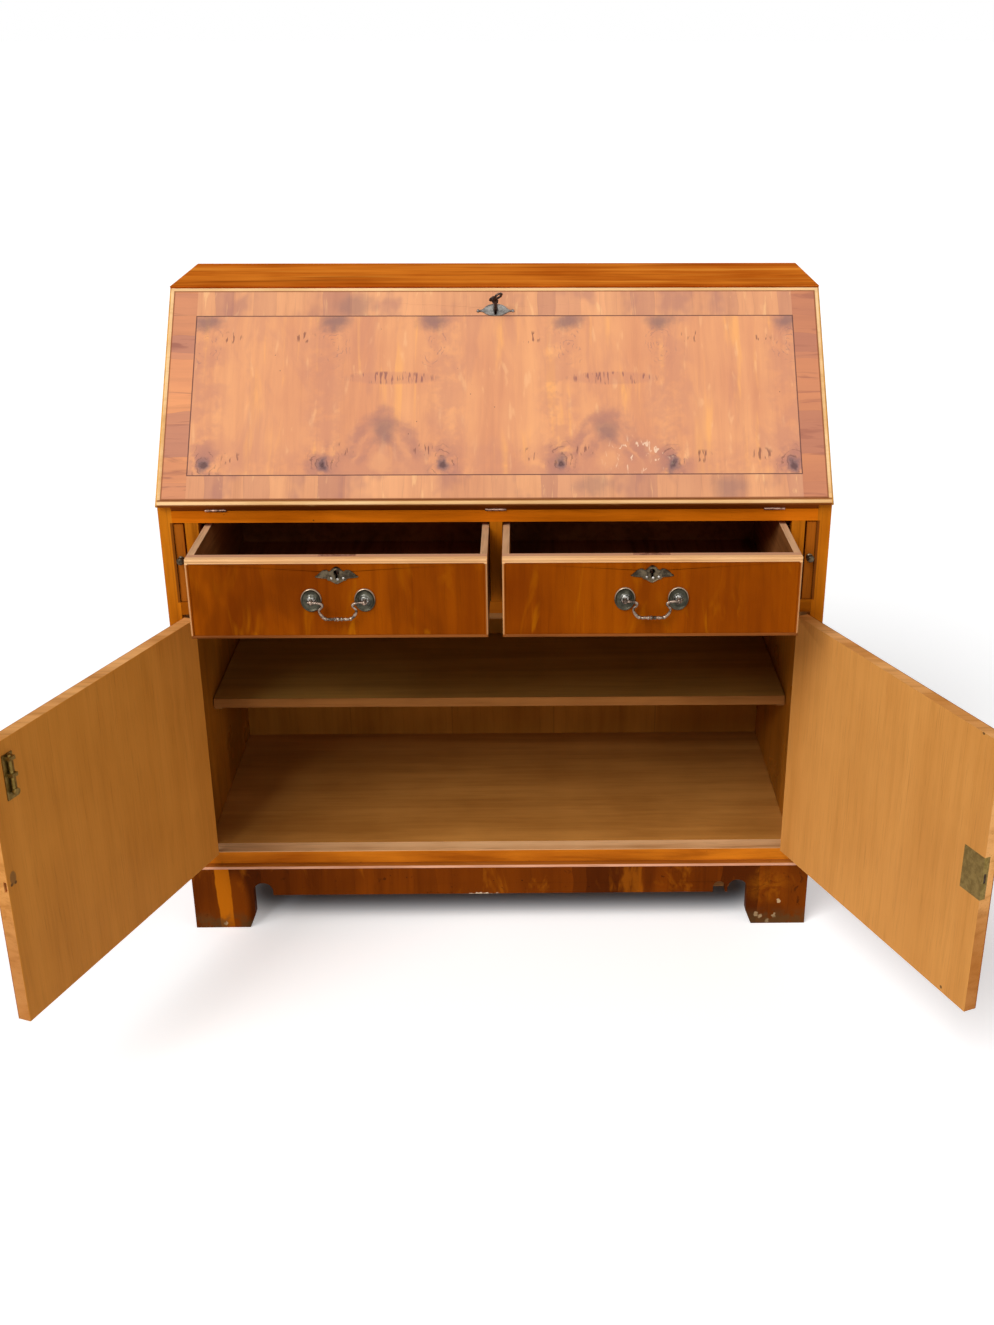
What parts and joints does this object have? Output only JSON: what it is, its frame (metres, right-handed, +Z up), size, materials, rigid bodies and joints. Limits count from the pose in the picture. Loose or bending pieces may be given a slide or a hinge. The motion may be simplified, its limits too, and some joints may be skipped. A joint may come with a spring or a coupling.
{
  "type": "writing bureau",
  "caption": "Slant-front writing bureau on bracket feet, with drawers and pull-out supports under the fall and a shelved cupboard behind doors.",
  "frame": {"origin": "on the floor, midway across the width, in the front plane of the carcase", "axes": "+X to the right seen from the front, +Y from front to back, +Z up"},
  "size_m": [1.3135, 0.907, 1.009],
  "materials": {
    "case_wood": "french polished, figured reddish brown",
    "veneer": "french polished, book-matched veneer with crossbanding",
    "inner_wood": "plain, waxed",
    "pale_wood": "plain, unpolished",
    "leather": "smooth, worn",
    "brass": "aged, antique",
    "steel": "worn"
  },
  "bodies": {
    "carcase": {"side_left": "case_wood", "side_right": "case_wood", "top_board": "case_wood", "bed_board": "case_wood", "mid_rail": "case_wood", "dust_board": "inner_wood", "door_stop_rail": "inner_wood", "front_uprights": "case_wood", "bottom_rail": "case_wood", "cupboard_floor": "inner_wood", "back_boards": "inner_wood", "shelf": "inner_wood", "shelf_pegs": "inner_wood", "plinth_front": "case_wood", "plinth_sides": "case_wood", "rear_brackets": "case_wood", "corner_blocks": "inner_wood", "base_moulding": "case_wood", "bed_hinge_leaves": "brass", "side_hinge_leaves": "brass", "pigeonholes": "inner_wood"},
    "fall": {"fall_board": "veneer", "fall_lip": "pale_wood", "writing_leather": "leather", "fall_lock": "brass", "fall_escutcheon": "brass", "fall_hinge_leaves": "brass"},
    "fall_bolt": {"fall_lock_bolt": "steel"},
    "key": {"fall_key": "steel"},
    "door_left": {"door_left": "case_wood", "door_left_hinge_leaves": "brass", "door_bolt_plate": "brass"},
    "door_left_bolt": {"door_slide_bolt": "brass"},
    "door_right": {"door_right": "case_wood", "door_right_hinge_leaves": "brass", "door_lock": "brass", "door_escutcheon": "brass"},
    "door_right_bolt": {"door_lock_bolt": "steel"},
    "small_drawer_left": {"small_drawer_left": "inner_wood", "small_drawer_left_knob": "brass"},
    "small_drawer_right": {"small_drawer_right": "inner_wood", "small_drawer_right_knob": "brass"},
    "drawer_left": {"drawer_left_front": "case_wood", "drawer_left_bead": "case_wood", "drawer_left_lock": "brass", "drawer_left_box": "pale_wood", "drawer_left_escutcheon": "brass", "drawer_left_rosettes": "brass"},
    "drawer_left_bail": {"drawer_left_bail": "brass"},
    "loper_left": {"loper_left": "case_wood", "loper_left_knob": "brass"},
    "drawer_right": {"drawer_right_front": "case_wood", "drawer_right_bead": "case_wood", "drawer_right_lock": "brass", "drawer_right_box": "pale_wood", "drawer_right_escutcheon": "brass", "drawer_right_rosettes": "brass"},
    "drawer_right_bail": {"drawer_right_bail": "brass"},
    "loper_right": {"loper_right": "case_wood", "loper_right_knob": "brass"}
  },
  "joints": [
    {"name": "fall_hinge", "type": "hinge", "parent": "carcase", "child": "fall", "pos_m": [0, -0.0012, 0.7225], "axis": [1, 0, 0], "range_deg": [0, 131.4]},
    {"name": "key_turn", "type": "hinge", "parent": "fall", "child": "key", "pos_m": [0, 0.19695, 0.9775], "axis": [0, -0.7501, 0.6613], "range_deg": [0, 180]},
    {"name": "fall_bolt_slide", "type": "slide", "parent": "fall", "child": "fall_bolt", "axis": [0, 0.6613, 0.7501], "range_m": [0, 0.008]},
    {"name": "door_left_hinge", "type": "hinge", "parent": "carcase", "child": "door_left", "pos_m": [-0.4792, -0.0035, 0.349], "axis": [0, 0, -1], "range_deg": [-111.6, 58.4]},
    {"name": "door_right_hinge", "type": "hinge", "parent": "carcase", "child": "door_right", "pos_m": [0.4792, -0.0035, 0.349], "axis": [0, 0, 1], "range_deg": [-112.8, 57.2]},
    {"name": "door_left_bolt_slide", "type": "slide", "parent": "door_left", "child": "door_left_bolt", "axis": [0, 0, 1], "range_m": [0, 0.01]},
    {"name": "door_right_bolt_slide", "type": "slide", "parent": "door_right", "child": "door_right_bolt", "axis": [0.3875, -0.9219, 0], "range_m": [0, 0.009]},
    {"name": "drawer_left_slide", "type": "slide", "parent": "carcase", "child": "drawer_left", "axis": [0, -1, 0], "range_m": [-0.145, 0.145]},
    {"name": "drawer_left_bail_turn", "type": "hinge", "parent": "drawer_left", "child": "drawer_left_bail", "pos_m": [-0.2225, -0.157, 0.6353], "axis": [-1, 0, 0], "range_deg": [-12, 95]},
    {"name": "loper_left_slide", "type": "slide", "parent": "carcase", "child": "loper_left", "axis": [0, -1, 0], "range_m": [0, 0.3]},
    {"name": "small_drawer_left_slide", "type": "slide", "parent": "carcase", "child": "small_drawer_left", "axis": [0, -1, 0], "range_m": [0, 0.13]},
    {"name": "drawer_right_slide", "type": "slide", "parent": "carcase", "child": "drawer_right", "axis": [0, -1, 0], "range_m": [-0.145, 0.145]},
    {"name": "drawer_right_bail_turn", "type": "hinge", "parent": "drawer_right", "child": "drawer_right_bail", "pos_m": [0.2225, -0.157, 0.6353], "axis": [-1, 0, 0], "range_deg": [-12, 95]},
    {"name": "loper_right_slide", "type": "slide", "parent": "carcase", "child": "loper_right", "axis": [0, -1, 0], "range_m": [0, 0.3]},
    {"name": "small_drawer_right_slide", "type": "slide", "parent": "carcase", "child": "small_drawer_right", "axis": [0, -1, 0], "range_m": [0, 0.13]}
  ],
  "couplings": [
    {"joint": "key_turn", "follows": "fall_bolt_slide", "rad_per_m": 392.7}
  ]
}
